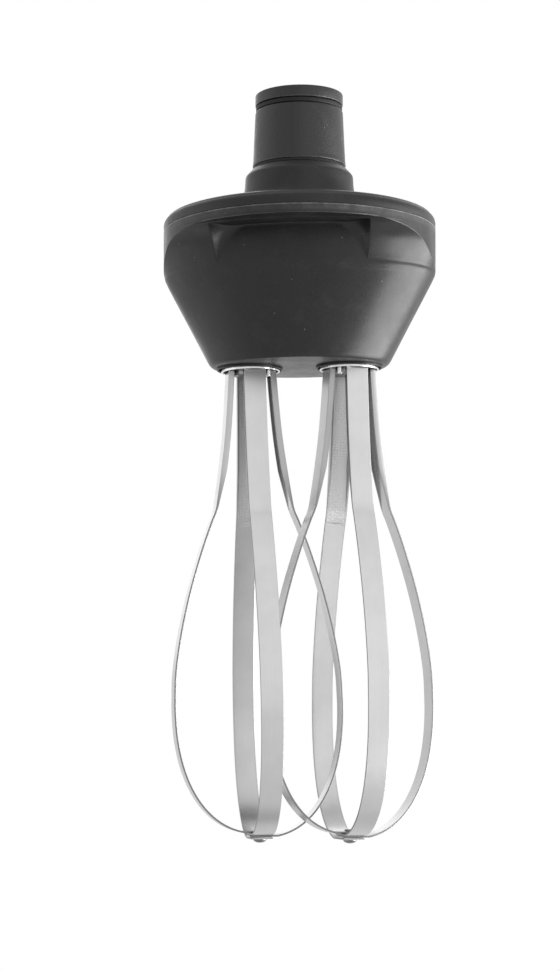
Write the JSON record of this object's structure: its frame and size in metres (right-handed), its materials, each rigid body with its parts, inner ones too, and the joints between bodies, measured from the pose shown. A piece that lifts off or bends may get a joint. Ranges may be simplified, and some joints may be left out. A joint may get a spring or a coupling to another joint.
{
  "type": "whisk gear head",
  "caption": "Gear head for a hand-held immersion blender: coupling neck, round cover, tapered oval housing and two counter-rotating whisks of flat steel strip.",
  "frame": {"origin": "on the neck's axis, at the top face of the cover's collar, where the motor unit seats", "axes": "+Z along the neck's axis towards the motor unit, +X towards the right whisk, -Y the front"},
  "size_m": [0.1196, 0.1196, 0.3298],
  "materials": {
    "shell": "satin, finely mottled",
    "neck": "satin",
    "rubber": "matt",
    "seal": "matt",
    "strip": "brushed",
    "chrome": "polished",
    "steel": "turned",
    "gear": "ground",
    "bronze": "plain",
    "alloy": "cast",
    "nylon": "plain"
  },
  "bodies": {
    "housing": {"neck_sleeve": "neck", "neck_end_ring": "neck", "neck_o_ring": "rubber", "neck_foot_seal": "rubber", "neck_screw_1": "steel", "neck_screw_2": "steel", "neck_screw_3": "steel", "top_cover": "shell", "cover_screw_1": "steel", "cover_screw_2": "steel", "cover_screw_3": "steel", "cover_screw_4": "steel", "cover_seal": "seal", "gear_housing": "shell", "bearing_plate": "alloy", "plate_screw_1": "steel", "plate_screw_2": "steel", "plate_screw_3": "steel", "input_upper_bearing": "steel", "input_lower_bearing": "steel", "input_seal": "rubber", "idler_upper_bush": "bronze", "idler_lower_bush": "bronze", "left_lower_bearing": "steel", "left_upper_bearing": "steel", "left_shaft_seal": "rubber", "right_lower_bearing": "steel", "right_upper_bearing": "steel", "right_shaft_seal": "rubber"},
    "input_shaft": {"input_shaft": "steel", "drive_dog": "steel", "input_pinion": "gear"},
    "idler": {"idler_shaft": "steel", "idler_gear": "nylon", "idler_pinion": "gear"},
    "left_spindle": {"left_spindle": "steel", "left_gear": "gear", "left_spring_clip": "steel"},
    "left_whisk": {"left_whisk_hub": "steel", "left_ferrule": "chrome", "left_ferrule_pin": "chrome", "left_strip_back": "strip", "left_strip_right": "strip", "left_strip_front": "strip", "left_strip_left": "strip", "left_rivet": "steel"},
    "right_spindle": {"right_spindle": "steel", "right_gear": "gear", "right_spring_clip": "steel"},
    "right_whisk": {"right_whisk_hub": "steel", "right_ferrule": "chrome", "right_ferrule_pin": "chrome", "right_strip_back": "strip", "right_strip_right": "strip", "right_strip_front": "strip", "right_strip_left": "strip", "right_rivet": "steel"}
  },
  "joints": [
    {"name": "left_spin", "type": "hinge", "parent": "housing", "child": "left_spindle", "pos_m": [-0.022, 0, -0.06], "axis": [0, 0, 1], "continuous": true},
    {"name": "right_spin", "type": "hinge", "parent": "housing", "child": "right_spindle", "pos_m": [0.022, 0, -0.06], "axis": [0, 0, 1], "continuous": true},
    {"name": "idler_spin", "type": "hinge", "parent": "housing", "child": "idler", "pos_m": [0.00391, 0.02267, -0.045], "axis": [0, 0, 1], "continuous": true},
    {"name": "input_spin", "type": "hinge", "parent": "housing", "child": "input_shaft", "pos_m": [0, 0, -0.02], "axis": [0, 0, 1], "continuous": true},
    {"name": "left_pull", "type": "slide", "parent": "left_spindle", "child": "left_whisk", "axis": [0, 0, -1], "range_m": [0, 0.018]},
    {"name": "right_pull", "type": "slide", "parent": "right_spindle", "child": "right_whisk", "axis": [0, 0, -1], "range_m": [0, 0.018]}
  ],
  "couplings": [
    {"joint": "right_spin", "follows": "left_spin", "ratio": -1},
    {"joint": "idler_spin", "follows": "left_spin", "ratio": 3.1429},
    {"joint": "input_spin", "follows": "left_spin", "ratio": -7.1837}
  ]
}
